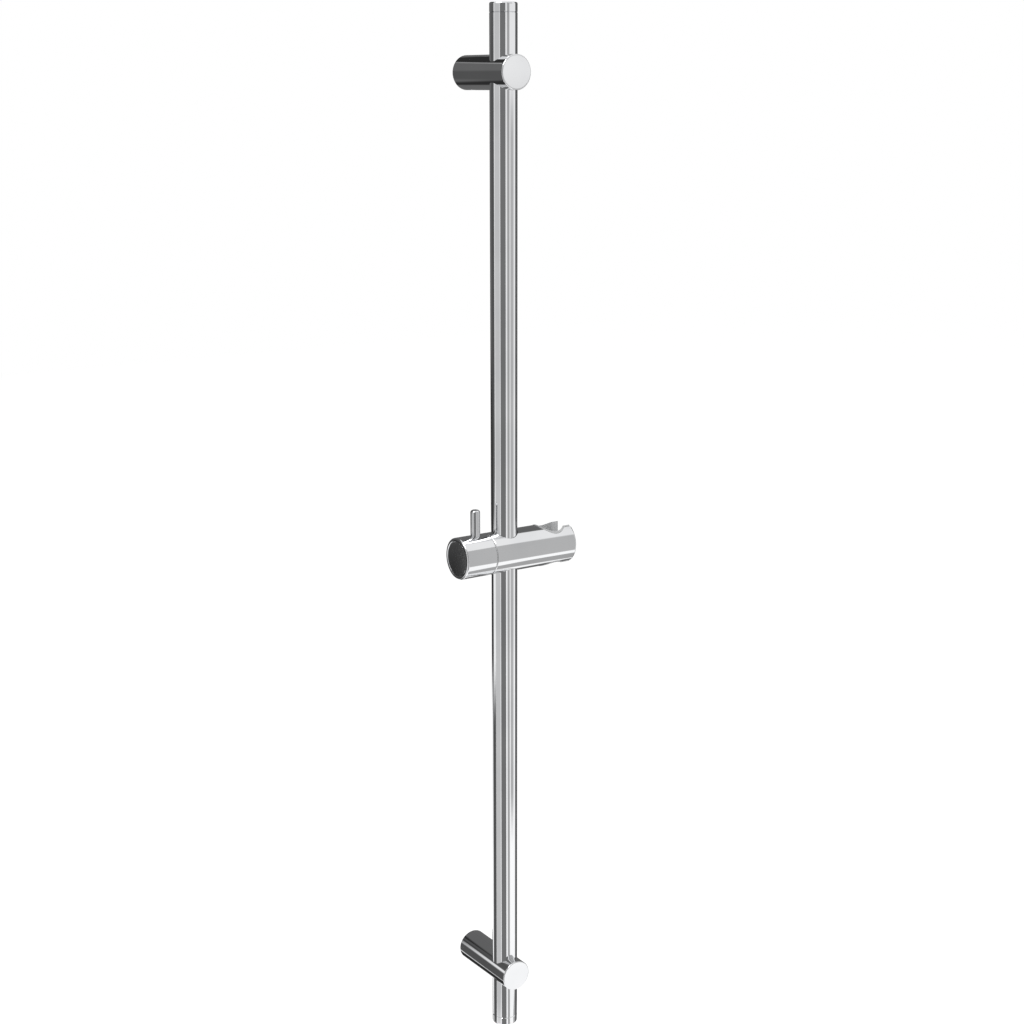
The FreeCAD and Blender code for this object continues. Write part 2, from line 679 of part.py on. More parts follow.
def spindle_gland():
    """Ring nut in the spigot's end, with a driver slot, that keeps the spindle's collar in."""
    body = new_body("spindle_gland", y="-bracket_reach")
    corners = [
        ("-gland_face", "spindle_radius + shoe_fit"),
        ("-gland_face", "gland_radius - thread_fit"),
        ("-spigot_end", "gland_radius - thread_fit"),
        ("-spigot_end", "spindle_radius + shoe_fit"),
    ]
    revolve(body, outline(body, "XZ_Plane", corners), "H_Axis")
    slot = [
        ("-gland_radius", "-gland_slot / 2"),
        ("gland_radius", "-gland_slot / 2"),
        ("gland_radius", "gland_slot / 2"),
        ("-gland_radius", "gland_slot / 2"),
    ]
    sketch = outline(body, "YZ_Plane", slot, z="-spigot_end")
    return pocket(body, sketch, depth="gland_slot_depth", reverse=True)


def spindle():
    """Stepped shaft: thread for the shoe, bearing, collar, and a square for the knob with a tapped end."""
    body = new_body("spindle", y="-bracket_reach")
    corners = [
        ("-thread_end", "0"),
        ("-thread_end", "thread_radius - seam_chamfer"),
        ("-thread_end - seam_chamfer", "thread_radius"),
        ("-shoe_stop - spindle_play", "thread_radius"),
        ("-shoe_stop - spindle_play", "spindle_radius"),
        ("-collar_face", "spindle_radius"),
        ("-collar_face", "collar_radius"),
        ("-collar_back", "collar_radius"),
        ("-collar_back", "spindle_radius"),
        ("-square_end", "spindle_radius"),
        ("-square_end", "knob_screw_radius + thread_fit"),
        ("-knob_screw_end + knob_screw_spare", "knob_screw_radius + thread_fit"),
        ("-knob_screw_end + knob_screw_spare", "0"),
    ]
    revolve(body, outline(body, "XZ_Plane", corners), "H_Axis")
    flats = square(body, "drive_square / 2", z="-square_start")
    add_circle(flats, "0", "0", "spindle_diameter")
    return pocket(body, flats)


def square(body, half, z="0"):
    """Square across the slider's axis."""
    corners = [
        (f"-{half}", f"-{half}"),
        (half, f"-{half}"),
        (half, half),
        (f"-{half}", half),
    ]
    return outline(body, "YZ_Plane", corners, z=z)


def locking_knob():
    """Turned cup over the spigot: driving web, screw bore, cover seat and the lever pin's hole."""
    body = new_body("locking_knob", y="-bracket_reach")
    corners = [
        ("-knob_face", "knob_bore"),
        ("-knob_face", "slider_radius - knob_chamfer"),
        ("-knob_face - knob_chamfer", "slider_radius"),
        ("-knob_end", "slider_radius", "knob_round"),
        ("-knob_end", "cover_bore"),
        ("-cover_seat", "cover_bore"),
        ("-cover_seat", "head_bore"),
        ("-web_back", "head_bore"),
        ("-web_back", "0"),
        ("-web_face", "0"),
        ("-web_face", "knob_bore"),
    ]
    revolve(body, outline(body, "XZ_Plane", corners), "H_Axis")
    pocket(body, square(body, "(drive_square / 2 + drive_fit)"), "Symmetric")
    thread = circle(body, "XY_Plane", "-lever_place", "0", "lever_thread_radius + thread_fit")
    pocket(body, thread, reverse=True)
    seat = circle(body, "XY_Plane", "-lever_place", "0", "lever_radius + lever_fit", z="lever_floor")
    return pocket(body, seat, reverse=True)


def lever_pin():
    """Upright pin screwed into the knob."""
    body = new_body("lever_pin", x="-lever_place", y="-bracket_reach")
    corners = [
        ("0", "lever_start"),
        ("lever_thread_radius", "lever_start"),
        ("lever_thread_radius", "lever_floor"),
        ("lever_radius", "lever_floor"),
        ("lever_radius", "lever_top", "lever_round"),
        ("0", "lever_top"),
    ]
    revolve(body, outline(body, "XZ_Plane", corners), "V_Axis")
    return body


def knob_screw():
    """Button-head screw that draws the knob onto the spindle."""
    body = new_body("knob_screw", y="-bracket_reach")
    corners = [
        ("-knob_screw_end", "0"),
        ("-knob_screw_end", "knob_screw_radius"),
        ("-web_back", "knob_screw_radius"),
        ("-web_back", "knob_screw_head / 2"),
        ("-knob_screw_top", "knob_screw_head / 2", "knob_screw_round"),
        ("-knob_screw_top", "0"),
    ]
    revolve(body, outline(body, "XZ_Plane", corners), "H_Axis")
    socket = hexagon(body, "YZ_Plane", "knob_screw_hex", "-knob_screw_top")
    return pocket(body, socket, depth="knob_screw_hex_depth", reverse=True)


def knob_cover():
    """Flat cover of the knob's end, with a ring that snaps into the knob."""
    body = new_body("knob_cover", y="-bracket_reach")
    corners = [
        ("-cover_face", "0"),
        ("-cover_face", "cover_radius - cover_chamfer"),
        ("-cover_face + cover_chamfer", "cover_radius"),
        ("-cover_seat", "cover_radius"),
        ("-cover_seat", "ring_outer"),
        ("-cover_seat + cover_ring_depth", "ring_outer"),
        ("-cover_seat + cover_ring_depth", "ring_inner"),
        ("-cover_seat", "ring_inner"),
        ("-cover_seat", "0"),
    ]
    revolve(body, outline(body, "XZ_Plane", corners), "H_Axis")
    return body


def check(parts):
    """Stop if any object failed or any sub-part's solid is missing or unsound."""
    for item in doc.Objects:
        if "Invalid" in item.State or "Error" in item.State:
            raise RuntimeError(f"{item.Label} failed: {item.State}")
    for item in parts:
        if item.Shape.isNull() or not item.Shape.isValid() or len(item.Shape.Solids) != 1:
            raise RuntimeError(f"{item.Label} is not one sound solid")


doc = FreeCAD.newDocument("shower_slide_rail")
sizes = fill_sheet("sizes", [(name, str(value)) for name, value, meaning in SIZES])
places = fill_sheet("places", [(name, f"={tie(formula)}") for name, formula in PLACES])

sub_parts = [rail_tube()]
for maker in (end_cap, cap_seal, bracket, wall_boss, boss_set_screw, rail_screw, rail_pad):
    for level, direction in LEVELS.items():
        sub_parts.append(maker(level, direction))
for maker in (
    rail_liner,
    slider_body,
    holder_insert,
    thrust_washer,
    spindle_gland,
    clamp_shoe,
    spindle,
    locking_knob,
    lever_pin,
    knob_screw,
    knob_cover,
):
    sub_parts.append(maker())
doc.recompute()
check(sub_parts)

os.makedirs("parts", exist_ok=True)
for sub_part in sub_parts:
    sub_part.Shape.exportStep(f"parts/{sub_part.Label}.step")
    box = sub_part.Shape.BoundBox
    print(f"{sub_part.Label}: {sub_part.Shape.Volume:.1f} mm3, x {box.XMin:.2f} to {box.XMax:.2f}, "
          f"y {box.YMin:.2f} to {box.YMax:.2f}, z {box.ZMin:.2f} to {box.ZMax:.2f}")
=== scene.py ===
"""Looks of a shower slide rail: a polished chrome rail on two wall posts, with a sliding handset holder."""

import logging
import math
from dataclasses import dataclass, field
from enum import Enum
from functools import cache
from typing import Any, Callable

import bmesh
import bpy
from mathutils import Matrix, Vector


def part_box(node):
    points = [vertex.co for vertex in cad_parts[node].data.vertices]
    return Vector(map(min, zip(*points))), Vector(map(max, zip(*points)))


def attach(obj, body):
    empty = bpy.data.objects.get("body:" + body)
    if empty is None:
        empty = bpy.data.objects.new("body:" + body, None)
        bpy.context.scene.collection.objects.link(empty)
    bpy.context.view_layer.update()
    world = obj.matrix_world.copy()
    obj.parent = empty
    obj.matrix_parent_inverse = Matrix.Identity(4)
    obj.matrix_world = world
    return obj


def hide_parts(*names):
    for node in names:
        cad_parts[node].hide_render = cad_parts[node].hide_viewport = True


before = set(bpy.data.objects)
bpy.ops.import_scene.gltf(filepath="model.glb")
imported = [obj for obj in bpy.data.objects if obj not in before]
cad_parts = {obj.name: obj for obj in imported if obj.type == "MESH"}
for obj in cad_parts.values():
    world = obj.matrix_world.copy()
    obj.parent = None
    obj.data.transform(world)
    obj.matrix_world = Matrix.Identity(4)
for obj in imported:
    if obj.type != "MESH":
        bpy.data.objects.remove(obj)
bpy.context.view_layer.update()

LOG = logging.getLogger("slide_rail")

# Metres in a millimetre
MM = 0.001

# Steps of a full ring, a small hole, the thin pin, a rounded corner and a softened edge
SEGMENTS = 192
HOLE_SEGMENTS = 64
PIN_SEGMENTS = 96
ROUND_STEPS = 6
SOFT_STEPS = 2

# Distance of the support rings from a rounded corner, in radii of its round
SUPPORT = 1.5

# Reach of a cutting tool past an axis, in radii of the piece
PAST = 2.0

# Edges that bend by more than this stay sharp
SMOOTH_ANGLE = math.radians(30)

# Points this near are one point, or lie on a ring
JOIN = 0.01 * MM
NEAR = 0.02 * MM

# Least agreement of a round face's normal with the spoke from its axis
RADIAL = 0.97

# Scale of the noise along polishing lines, which draws them out
DRAWN = 0.03

# Widest fade at a screen's edge, as a share of its side
WIDEST_FADE = 0.49

# Sockets of a Mix node for colours, whose names repeat
MIX_SHARE, MIX_FIRST, MIX_SECOND, MIX_RESULT = 0, 6, 7, 2

Colour = tuple[float, float, float, float]
WHITE: Colour = (1.0, 1.0, 1.0, 1.0)


def grey(tone: float) -> Colour:
    """Colour with the same tone in red, green and blue."""
    return (tone, tone, tone, 1.0)


class Value:
    """Number on a node's socket, with arithmetic that adds Math nodes."""

    def __init__(self, graph: "Graph", socket: bpy.types.NodeSocket) -> None:
        """Keep the graph and the socket that carries the number."""
        self.graph = graph
        self.socket = socket

    def __add__(self, other: "Value | float") -> "Value":
        """Sum of two numbers."""
        return self.graph.math("ADD", self, other)

    def __radd__(self, other: float) -> "Value":
        """Sum of two numbers."""
        return self.graph.math("ADD", other, self)

    def __sub__(self, other: "Value | float") -> "Value":
        """Difference of two numbers."""
        return self.graph.math("SUBTRACT", self, other)

    def __rsub__(self, other: float) -> "Value":
        """Difference of two numbers."""
        return self.graph.math("SUBTRACT", other, self)

    def __mul__(self, other: "Value | float") -> "Value":
        """Product of two numbers."""
        return self.graph.math("MULTIPLY", self, other)

    def __rmul__(self, other: float) -> "Value":
        """Product of two numbers."""
        return self.graph.math("MULTIPLY", other, self)

    def smooth(self, low: float, high: float) -> "Value":
        """Soft step from 0 to 1 as the number goes from low to high.

        Args:
            low: Number at which the step begins.
            high: Number at which the step is complete.

        Returns:
            The step.
        """
        node = self.graph.add(
            "ShaderNodeMapRange",
            {"interpolation_type": "SMOOTHSTEP"},
            {"Value": self, "From Min": low, "From Max": high},
        )
        return Value(self.graph, node.outputs["Result"])


class Graph:
    """Nodes of one material or world."""

    def __init__(self, tree: bpy.types.NodeTree) -> None:
        """Start with an empty tree."""
        self.tree = tree
        self.tree.nodes.clear()

    @classmethod
    def of_material(cls, name: str) -> tuple["Graph", bpy.types.Material]:
        """New material with an empty graph.

        Args:
            name: Name of the material.

        Returns:
            The graph and the material.
        """
        material = bpy.data.materials.new(name)
        material.use_nodes = True
        return cls(material.node_tree), material

    def add(
        self, kind: str, settings: dict[str, Any] | None = None, inputs: dict[str | int, Any] | None = None
    ) -> bpy.types.Node:
        """Add a node.

        Args:
            kind: Type name of the node.
            settings: Properties of the node, set first.
            inputs: Number, colour, link or Value for each socket, by name or index.

        Returns:
            The node.
        """
        node = self.tree.nodes.new(kind)
        for name, setting in (settings or {}).items():
            setattr(node, name, setting)
        for name, given in (inputs or {}).items():
            if isinstance(given, Value):
                given = given.socket
            if isinstance(given, bpy.types.NodeSocket):
                self.tree.links.new(given, node.inputs[name])
            else:
                node.inputs[name].default_value = given
        return node

    def math(self, operation: str, left: Value | float, right: Value | float) -> Value:
        """Math node on two numbers."""
        node = self.add("ShaderNodeMath", {"operation": operation}, {0: left, 1: right})
        return Value(self, node.outputs["Value"])

    def places(self, stretch: tuple[float, float, float] = (1.0, 1.0, 1.0)) -> bpy.types.NodeSocket:
        """Object coordinates, stretched along each axis.

        Args:
            stretch: Scale along X, Y and Z.

        Returns:
            Socket with the coordinates.
        """
        source = self.add("ShaderNodeTexCoord").outputs["Object"]
        node = self.add("ShaderNodeMapping", None, {"Vector": source, "Scale": stretch})
        return node.outputs["Vector"]

    def noise(self, places: bpy.types.NodeSocket, scale: float, detail: float = 3.0) -> Value:
        """Noise from 0 to 1.

        Args:
            places: Coordinates that the noise is read at.
            scale: Noise cells in a metre.
            detail: Number of finer layers.

        Returns:
            The noise.
        """
        node = self.add("ShaderNodeTexNoise", None, {"Vector": places, "Scale": scale, "Detail": detail})
        return Value(self, node.outputs["Fac"])

    def blend(self, share: Value, first: Colour, second: Colour) -> bpy.types.NodeSocket:
        """Colour between two colours.

        Args:
            share: 0 for the first colour, 1 for the second.
            first: Colour at 0.
            second: Colour at 1.

        Returns:
            Socket with the colour.
        """
        inputs = {MIX_SHARE: share, MIX_FIRST: first, MIX_SECOND: second}
        return self.add("ShaderNodeMix", {"data_type": "RGBA"}, inputs).outputs[MIX_RESULT]

    def bump(self, height: Value, depth: float) -> bpy.types.NodeSocket:
        """Normal from a height, with its depth in metres."""
        return self.add("ShaderNodeBump", None, {"Height": height, "Distance": depth}).outputs["Normal"]

    def principled(self, inputs: dict[str | int, Any]) -> None:
        """Close the graph with a Principled shader."""
        shader = self.add("ShaderNodeBsdfPrincipled", None, inputs)
        self.add("ShaderNodeOutputMaterial", None, {"Surface": shader.outputs["BSDF"]})


class Grain(Enum):
    """Way in which a piece was polished, as stretches of the noise along X, Y and Z."""

    UPRIGHT = (1.0, 1.0, DRAWN)
    ACROSS = (DRAWN, 1.0, 1.0)
    OUTWARD = (1.0, DRAWN, 1.0)


@dataclass(frozen=True)
class Chrome:
    """Polished chrome plate: slow clouds in its tone, fine polishing lines and a little orange peel."""

    name: str
    grain: Grain
    light: Colour = (0.79, 0.795, 0.805, 1.0)
    dull: Colour = (0.74, 0.747, 0.76, 1.0)
    gloss: float = 0.045
    haze: float = 0.05
    clear_haze: float = 0.4
    cloud_scale: float = 22.0
    cloud_range: tuple[float, float] = (0.35, 0.7)
    line_scale: float = 2600.0
    line_range: tuple[float, float] = (0.45, 0.8)
    peel_scale: float = 300.0
    peel_depth: float = 0.0000015

    def make(self) -> bpy.types.Material:
        """Build the material.

        Returns:
            The material.
        """
        graph, material = Graph.of_material(self.name)
        plain = graph.places()
        clouds = graph.noise(plain, self.cloud_scale)
        lines = graph.noise(graph.places(self.grain.value), self.line_scale, detail=2.0)
        peel = graph.noise(plain, self.peel_scale, detail=1.0)
        share = clouds.smooth(*self.cloud_range)
        dullness = self.clear_haze + (1.0 - self.clear_haze) * share
        roughness = self.gloss + self.haze * lines.smooth(*self.line_range) * dullness
        graph.principled(
            {
                "Base Color": graph.blend(share, self.light, self.dull),
                "Metallic": 1.0,
                "Roughness": roughness,
                "Normal": graph.bump(peel, self.peel_depth),
            }
        )
        return material


@dataclass(frozen=True)
class TurnedMetal:
    """Bare metal from the lathe: fine rings, dull spots and a slight stain."""

    name: str
    light: Colour
    dark: Colour
    roughness: float = 0.24
    haze: float = 0.22
    ring_scale: float = 5200.0
    ring_depth: float = 0.000012
    stain_scale: float = 260.0
    stain_range: tuple[float, float] = (0.35, 0.75)
    stain_share: float = 0.65

    def make(self) -> bpy.types.Material:
        """Build the material.

        Returns:
            The material.
        """
        graph, material = Graph.of_material(self.name)
        rings = graph.noise(graph.places(Grain.OUTWARD.value), self.ring_scale, detail=2.0)
        stain = graph.noise(graph.places(), self.stain_scale, detail=4.0)
        share = self.stain_share * stain.smooth(*self.stain_range) + (1.0 - self.stain_share) * rings
        graph.principled(
            {
                "Base Color": graph.blend(share, self.light, self.dark),
                "Metallic": 1.0,
                "Roughness": self.roughness + self.haze * rings * (0.5 + 0.5 * stain),
                "Normal": graph.bump(rings, self.ring_depth),
            }
        )
        return material


@dataclass(frozen=True)
class Moulded:
    """Moulded plastic or rubber: fine matt texture, with flow marks in its tone."""

    name: str
    light: Colour
    dark: Colour
    roughness: float
    haze: float = 0.16
    texture_scale: float = 3800.0
    texture_depth: float = 0.00002
    flow_scale: float = 90.0
    flow_range: tuple[float, float] = (0.3, 0.75)
    flow_share: float = 0.7

    def make(self) -> bpy.types.Material:
        """Build the material.

        Returns:
            The material.
        """
        graph, material = Graph.of_material(self.name)
        plain = graph.places()
        texture = graph.noise(plain, self.texture_scale, detail=2.0)
        flow = graph.noise(plain, self.flow_scale, detail=4.0)
        share = self.flow_share * flow.smooth(*self.flow_range) + (1.0 - self.flow_share) * texture
        graph.principled(
            {
                "Base Color": graph.blend(share, self.light, self.dark),
                "Roughness": self.roughness + self.haze * texture,
                "Normal": graph.bump(texture, self.texture_depth),
            }
        )
        return material


class Slot(Enum):
    """Material slots, with the finish that each one gets."""

    RAIL = Chrome("rail_chrome", Grain.UPRIGHT)
    POST = Chrome("bracket_chrome", Grain.OUTWARD)
    SLIDER = Chrome("slider_chrome", Grain.ACROSS)
    LEVER = Chrome(
        "lever_chrome", Grain.UPRIGHT, light=(0.69, 0.695, 0.705, 1.0), dull=(0.63, 0.637, 0.65, 1.0)
    )
    STEEL = TurnedMetal("screw_steel", (0.6, 0.6, 0.61, 1.0), (0.42, 0.42, 0.43, 1.0))
    BRASS = TurnedMetal("turned_brass", (0.76, 0.58, 0.29, 1.0), (0.55, 0.39, 0.17, 1.0))
    NYLON = Moulded("white_nylon", (0.83, 0.82, 0.78, 1.0), (0.74, 0.73, 0.69, 1.0), 0.38)
    INSERT = Moulded("grey_plastic", (0.56, 0.565, 0.57, 1.0), (0.47, 0.475, 0.48, 1.0), 0.34)
    RUBBER = Moulded("seal_rubber", grey(0.04), grey(0.018), 0.55)


class Stations(Enum):
    """Way in which the stations of a turned piece run, as a turn of the upright axis."""

    UP = (0.0, 0.0, 0.0)
    RIGHT = (0.0, math.pi / 2, 0.0)
    FRONT = (math.pi / 2, 0.0, 0.0)

    def direction(self) -> Vector:
        """Unit vector along the stations.

        Returns:
            The vector.
        """
        about_x, about_y, _ = self.value
        turn = Matrix.Rotation(about_y, 3, "Y") @ Matrix.Rotation(about_x, 3, "X")
        return turn @ Vector((0.0, 0.0, 1.0))


def only(piece: bpy.types.Object) -> None:
    """Select one object alone and make it the active one.

    Args:
        piece: Object that is selected.
    """
    bpy.ops.object.select_all(action="DESELECT")
    piece.select_set(True)
    bpy.context.view_layer.objects.active = piece


def select_edges(piece: bpy.types.Object, wanted: Callable[[Vector], bool]) -> None:
    """Select the edges whose ends both pass a test of place.

    Args:
        piece: Object in edit mode.
        wanted: Test of a point's place.
    """
    bpy.ops.mesh.select_all(action="DESELECT")
    mesh = bmesh.from_edit_mesh(piece.data)
    for edge in mesh.edges:
        edge.select_set(all(wanted(vertex.co) for vertex in edge.verts))
    bmesh.update_edit_mesh(piece.data)


class Cut(Enum):
    """What a tool does to a piece."""

    AWAY = "DIFFERENCE"
    TRIM = "INTERSECT"
    WELD = "UNION"


def carve(piece: bpy.types.Object, tool: bpy.types.Object, cut: Cut = Cut.AWAY) -> None:
    """Use a tool on a piece, then remove the tool.

    Args:
        piece: Object that is shaped.
        tool: Closed object that shapes it.
        cut: What the tool does.
    """
    modifier = piece.modifiers.new("carve", "BOOLEAN")
    modifier.operation = cut.value
    modifier.solver = "EXACT"
    modifier.object = tool
    only(piece)
    bpy.ops.object.modifier_apply(modifier=modifier.name)
    bpy.data.objects.remove(tool, do_unlink=True)


def block(name: str, low: Vector, high: Vector) -> bpy.types.Object:
    """Box between two corners, as a tool for cutting.

    Args:
        name: Name of the object.
        low: Corner with the least X, Y and Z.
        high: Corner with the most X, Y and Z.

    Returns:
        The tool, with its place in its mesh.
    """
    bpy.ops.object.select_all(action="DESELECT")
    bpy.ops.mesh.primitive_cube_add(size=1.0, location=(low + high) / 2)
    tool = bpy.context.object
    tool.name = name
    tool.scale = high - low
    bpy.ops.object.transform_apply(location=True, rotation=True, scale=True)
    return tool


def copy_of(piece: bpy.types.Object, name: str, move: Matrix) -> bpy.types.Object:
    """Copy a piece, with a mesh of its own.

    Args:
        piece: Object that is copied.
        name: Name of the copy.
        move: Way from the piece's place to the copy's.

    Returns:
        The copy, with its place in its mesh.
    """
    only(piece)
    bpy.ops.object.duplicate(linked=False)
    twin = bpy.context.object
    twin.name = twin.data.name = name
    twin.matrix_world = move
    bpy.ops.object.transform_apply(location=True, rotation=True, scale=True)
    return twin


def soften(piece: bpy.types.Object, width: float) -> None:
    """Break the sharp edges of a carved piece.

    Args:
        piece: Object whose edges are broken.
        width: Width of the small round.
    """
    modifier = piece.modifiers.new("soften", "BEVEL")
    modifier.width = width
    modifier.segments = SOFT_STEPS
    modifier.limit_method = "ANGLE"
    modifier.angle_limit = SMOOTH_ANGLE
    only(piece)
    bpy.ops.object.modifier_apply(modifier=modifier.name)


def dress(piece: bpy.types.Object, body: str, slot: Slot, node: str) -> None:
    """Shade a piece smooth, give it its finish, and put it in a node's place.

    Args:
        piece: Finished mesh.
        body: Body of the frame that carries it.
        slot: Finish of the piece.
        node: Node that it stands for.
    """
    only(piece)
    bpy.ops.object.shade_smooth_by_angle(angle=SMOOTH_ANGLE)
    piece.data.materials.clear()
    piece.data.materials.append(finish_of(slot))
    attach(piece, body)
    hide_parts(node)
    LOG.info("%s stands for %s, %d faces", piece.name, node, len(piece.data.polygons))


@cache
def finish_of(slot: Slot) -> bpy.types.Material:
    """Material of a slot, made when it is first wanted."""
    return slot.value.make()


@dataclass(frozen=True)
class Corner:
    """Corner of a turned profile, with the radius of its round."""

    radius: float
    station: float
    round: float = 0.0

    def towards(self, other: "Corner", distance: float) -> "Corner":
        """Point on the way to another corner.

        Args:
            other: Corner at the end of the way.
            distance: Length of the way to the point.

        Returns:
            The point, as a corner without a round.
        """
        gap = math.hypot(other.radius - self.radius, other.station - self.station)
        share = distance / gap
        return Corner(
            self.radius + (other.radius - self.radius) * share,
            self.station + (other.station - self.station) * share,
        )

    def holds(self, place: Vector) -> bool:
        """Whether a place lies on this corner's ring."""
        return abs(place.xy.length - self.radius) < NEAR and abs(place.z - self.station) < NEAR


@dataclass
class Turned:
    """Piece turned about an axis from a profile of corners."""

    name: str
    profile: list[Corner]
    stations: Stations
    place: Vector
    hollow: bool = False
    segments: int = SEGMENTS

    def rings(self) -> list[Corner]:
        """Profile with a further ring at each side of a round, which keeps its shading off the flats.

        Returns:
            Rings in the order of the profile.
        """
        made = []
        for index, corner in enumerate(self.profile):
            following = self.profile[(index + 1) % len(self.profile)]
            if corner.round:
                made.append(corner.towards(self.profile[index - 1], corner.round * SUPPORT))
            made.append(corner)
            if corner.round:
                made.append(corner.towards(following, corner.round * SUPPORT))
        return made

    def make(self) -> bpy.types.Object:
        """Draw the first ring, extrude it along the profile, close it, and round its corners.

        Returns:
            The piece, with its place in its mesh.
        """
        rings = self.rings()
        bpy.ops.object.select_all(action="DESELECT")
        bpy.ops.mesh.primitive_circle_add(vertices=self.segments, radius=rings[0].radius)
        piece = bpy.context.object
        piece.name = piece.data.name = self.name
        bpy.ops.object.mode_set(mode="EDIT")
        bpy.ops.mesh.select_mode(type="EDGE")
        bpy.ops.mesh.select_all(action="SELECT")
        bpy.ops.transform.translate(value=(0.0, 0.0, rings[0].station))
        path = rings + rings[:1] if self.hollow else rings
        for before, after in zip(path, path[1:]):
            self.extend(before, after)
        self.close(piece, rings)
        for corner in self.profile:
            if corner.round:
                select_edges(piece, corner.holds)
                bpy.ops.mesh.bevel(offset=corner.round, segments=ROUND_STEPS)
        bpy.ops.mesh.select_all(action="SELECT")
        bpy.ops.mesh.normals_make_consistent(inside=False)
        bpy.ops.object.mode_set(mode="OBJECT")
        piece.rotation_euler = self.stations.value
        piece.location = self.place
        bpy.ops.object.transform_apply(location=True, rotation=True, scale=True)
        return piece

    def extend(self, before: Corner, after: Corner) -> None:
        """Extrude the selected ring to the next one.

        Args:
            before: Ring that is selected.
            after: Ring that it goes to.
        """
        rise = after.station - before.station
        bpy.ops.mesh.extrude_edges_move(TRANSFORM_OT_translate={"value": (0.0, 0.0, rise)})
        scale = after.radius / before.radius
        bpy.ops.transform.resize(value=(scale, scale, 1.0))

    def close(self, piece: bpy.types.Object, rings: list[Corner]) -> None:
        """Join the last ring to the first, or fill both with faces.

        Args:
            piece: Object in edit mode.
            rings: Rings of the profile.
        """
        if self.hollow:
            bpy.ops.mesh.select_all(action="SELECT")
            bpy.ops.mesh.remove_doubles(threshold=JOIN)
            return
        for ring in (rings[0], rings[-1]):
            select_edges(piece, ring.holds)
            bpy.ops.mesh.edge_face_add()


def true_round(piece: bpy.types.Object, stations: Stations, place: Vector, radius: float) -> None:
    """Point the normals of a carved cylinder straight out from its axis, so that the cuts leave no ripples.

    Args:
        piece: Object that is already shaded smooth.
        stations: Direction of the axis.
        place: Point on the axis.
        radius: Radius of the cylinder.
    """
    mesh = piece.data
    along = stations.direction()
    normals = [Vector(corner.vector) for corner in mesh.corner_normals]
    for face in mesh.polygons:
        spokes = []
        for vertex in face.vertices:
            spoke = mesh.vertices[vertex].co - place
            spokes.append(spoke - along * spoke.dot(along))
        if any(abs(spoke.length - radius) > NEAR for spoke in spokes):
            continue
        for loop, spoke in zip(face.loop_indices, spokes):
            if face.normal.dot(spoke.normalized()) > RADIAL:
                normals[loop] = spoke.normalized()
    mesh.normals_split_custom_set(normals)


@dataclass
class Rail:
    """Rail tube with the caps in its two ends."""

    wall: float = 1.5 * MM
    seam: float = 0.4 * MM
    cap_round: float = 1.2 * MM
    cap_fit: float = 0.05 * MM
    seal_fit: float = 0.02 * MM
    seal_play: float = 0.15 * MM
    body: str = "rail"
    radius: float = field(init=False)
    axis: Vector = field(init=False)

    def build(self) -> None:
        """Make the tube and both caps."""
        low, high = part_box("rail_tube")
        self.radius = (high.x - low.x) / 2
        self.axis = Vector(((low.x + high.x) / 2, (low.y + high.y) / 2, 0.0))
        self.tube(low.z, high.z)
        self.caps(high.z)

    def tube(self, foot: float, top: float) -> None:
        """Hollow tube with small chamfers where the caps meet it.

        Args:
            foot: Height of its lower end.
            top: Height of its upper end.
        """
        bore = self.radius - self.wall
        profile = [
            Corner(bore, foot),
            Corner(self.radius - self.seam, foot),
            Corner(self.radius, foot + self.seam),
            Corner(self.radius, top - self.seam),
            Corner(self.radius - self.seam, top),
            Corner(bore, top),
        ]
        piece = Turned("chrome_rail", profile, Stations.UP, self.axis, hollow=True).make()
        dress(piece, self.body, Slot.RAIL, "rail_tube")

    def caps(self, joint: float) -> None:
        """Upper cap with a rounded head and a grooved plug in the tube, and its copy at the lower end.

        Args:
            joint: Height at which the upper head meets the tube.
        """
        low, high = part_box("upper_end_cap")
        seal_low, seal_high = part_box("upper_cap_seal")
        plug = self.radius - self.wall - self.cap_fit
        wire = seal_high.z - seal_low.z
        groove = (seal_high.x - seal_low.x) / 2 - wire - self.seal_fit
        profile = [
            Corner(plug - self.seam, low.z),
            Corner(plug, low.z + self.seam),
            Corner(plug, seal_low.z - self.seal_play),
            Corner(groove, seal_low.z - self.seal_play),
            Corner(groove, seal_high.z + self.seal_play),
            Corner(plug, seal_high.z + self.seal_play),
            Corner(plug, joint),
            Corner(self.radius - self.seam, joint),
            Corner(self.radius, joint + self.seam),
            Corner(self.radius, high.z, self.cap_round),
            Corner(self.radius / 2, high.z),
        ]
        upper = Turned("chrome_upper_end_cap", profile, Stations.UP, self.axis).make()
        half_turn = Matrix.Rotation(math.pi, 4, "X")
        move = Matrix.Translation(self.axis) @ half_turn @ Matrix.Translation(-self.axis)
        lower = copy_of(upper, "chrome_lower_end_cap", move)
        dress(upper, self.body, Slot.RAIL, "upper_end_cap")
        dress(lower, self.body, Slot.RAIL, "lower_end_cap")


